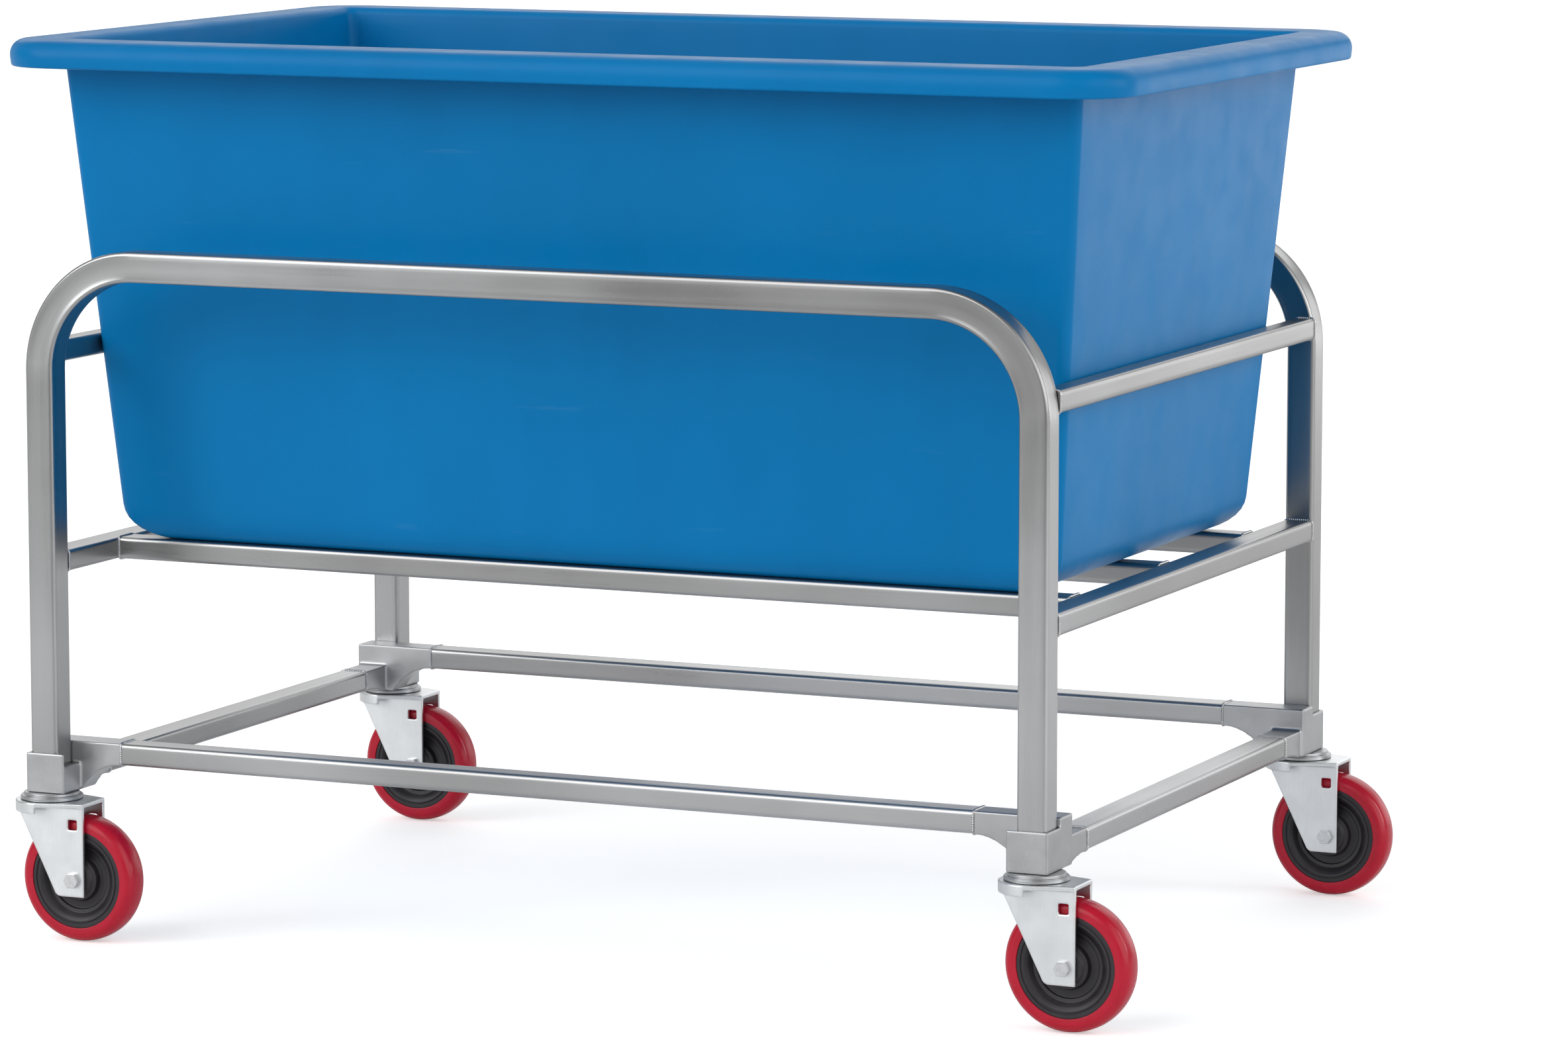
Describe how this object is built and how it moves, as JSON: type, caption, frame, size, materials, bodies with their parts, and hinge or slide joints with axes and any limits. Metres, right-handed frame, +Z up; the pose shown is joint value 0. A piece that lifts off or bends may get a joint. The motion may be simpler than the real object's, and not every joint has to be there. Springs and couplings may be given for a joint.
{
  "type": "bulk tub cart",
  "caption": "Deep moulded plastic tub with a rolled rim, standing in a welded square tube frame on swivel casters that trail and roll.",
  "frame": {"origin": "on the floor, in the middle of the whole cart's footprint", "axes": "+X along the cart towards the end that the casters trail to, +Y across it towards the far long side, +Z up"},
  "size_m": [1.2164, 0.802, 0.889],
  "materials": {
    "tub_blue": "moulded, slightly textured, satin",
    "tube_aluminium": "brushed along the tube",
    "cast_aluminium": "fine cast surface",
    "zinc_steel": "bright zinc plated",
    "bolt_steel": "plated, turned",
    "bearing_steel": "polished",
    "core_black": "moulded, satin",
    "tyre_red": "cast polyurethane, smooth"
  },
  "bodies": {
    "cart_frame": {"tub": "tub_blue", "side_frame_front": "tube_aluminium", "side_frame_rear": "tube_aluminium", "mid_rail_left": "tube_aluminium", "mid_rail_right": "tube_aluminium", "deck_end_rail_left": "tube_aluminium", "deck_end_rail_right": "tube_aluminium", "deck_long_rail_front": "tube_aluminium", "deck_long_rail_rear": "tube_aluminium", "deck_centre_rail": "tube_aluminium", "base_long_rail_front": "tube_aluminium", "base_long_rail_rear": "tube_aluminium", "base_end_rail_left": "tube_aluminium", "base_end_rail_right": "tube_aluminium", "stem_nuts": "zinc_steel", "corner_casting_front_left": "cast_aluminium", "corner_casting_front_right": "cast_aluminium", "corner_casting_rear_left": "cast_aluminium", "corner_casting_rear_right": "cast_aluminium", "caster_kingpin_front_left": "zinc_steel", "caster_kingpin_front_right": "zinc_steel", "caster_kingpin_rear_left": "zinc_steel", "caster_kingpin_rear_right": "zinc_steel", "caster_upper_race_front_left": "zinc_steel", "caster_upper_race_front_right": "zinc_steel", "caster_upper_race_rear_left": "zinc_steel", "caster_upper_race_rear_right": "zinc_steel", "caster_balls_front_left": "bearing_steel", "caster_balls_front_right": "bearing_steel", "caster_balls_rear_left": "bearing_steel", "caster_balls_rear_right": "bearing_steel"},
    "swivel_front_left": {"caster_fork_front_left": "zinc_steel", "axle_bolt_set_front_left": "bolt_steel", "spanner_bush_front_left": "bolt_steel"},
    "wheel_front_left": {"wheel_core_front_left": "core_black", "wheel_tyre_front_left": "tyre_red"},
    "swivel_front_right": {"caster_fork_front_right": "zinc_steel", "axle_bolt_set_front_right": "bolt_steel", "spanner_bush_front_right": "bolt_steel"},
    "wheel_front_right": {"wheel_core_front_right": "core_black", "wheel_tyre_front_right": "tyre_red"},
    "swivel_rear_left": {"caster_fork_rear_left": "zinc_steel", "axle_bolt_set_rear_left": "bolt_steel", "spanner_bush_rear_left": "bolt_steel"},
    "wheel_rear_left": {"wheel_core_rear_left": "core_black", "wheel_tyre_rear_left": "tyre_red"},
    "swivel_rear_right": {"caster_fork_rear_right": "zinc_steel", "axle_bolt_set_rear_right": "bolt_steel", "spanner_bush_rear_right": "bolt_steel"},
    "wheel_rear_right": {"wheel_core_rear_right": "core_black", "wheel_tyre_rear_right": "tyre_red"}
  },
  "joints": [
    {"name": "swivel_front_left", "type": "hinge", "parent": "cart_frame", "child": "swivel_front_left", "pos_m": [-0.53958, -0.365, 0.14], "axis": [0, 0, 1], "continuous": true},
    {"name": "roll_front_left", "type": "hinge", "parent": "swivel_front_left", "child": "wheel_front_left", "pos_m": [-0.50458, -0.365, 0.0635], "axis": [0, 1, 0], "continuous": true},
    {"name": "swivel_front_right", "type": "hinge", "parent": "cart_frame", "child": "swivel_front_right", "pos_m": [0.51042, -0.365, 0.14], "axis": [0, 0, 1], "continuous": true},
    {"name": "roll_front_right", "type": "hinge", "parent": "swivel_front_right", "child": "wheel_front_right", "pos_m": [0.54542, -0.365, 0.0635], "axis": [0, 1, 0], "continuous": true},
    {"name": "swivel_rear_left", "type": "hinge", "parent": "cart_frame", "child": "swivel_rear_left", "pos_m": [-0.53958, 0.365, 0.14], "axis": [0, 0, 1], "continuous": true},
    {"name": "roll_rear_left", "type": "hinge", "parent": "swivel_rear_left", "child": "wheel_rear_left", "pos_m": [-0.50458, 0.365, 0.0635], "axis": [0, 1, 0], "continuous": true},
    {"name": "swivel_rear_right", "type": "hinge", "parent": "cart_frame", "child": "swivel_rear_right", "pos_m": [0.51042, 0.365, 0.14], "axis": [0, 0, 1], "continuous": true},
    {"name": "roll_rear_right", "type": "hinge", "parent": "swivel_rear_right", "child": "wheel_rear_right", "pos_m": [0.54542, 0.365, 0.0635], "axis": [0, 1, 0], "continuous": true}
  ]
}
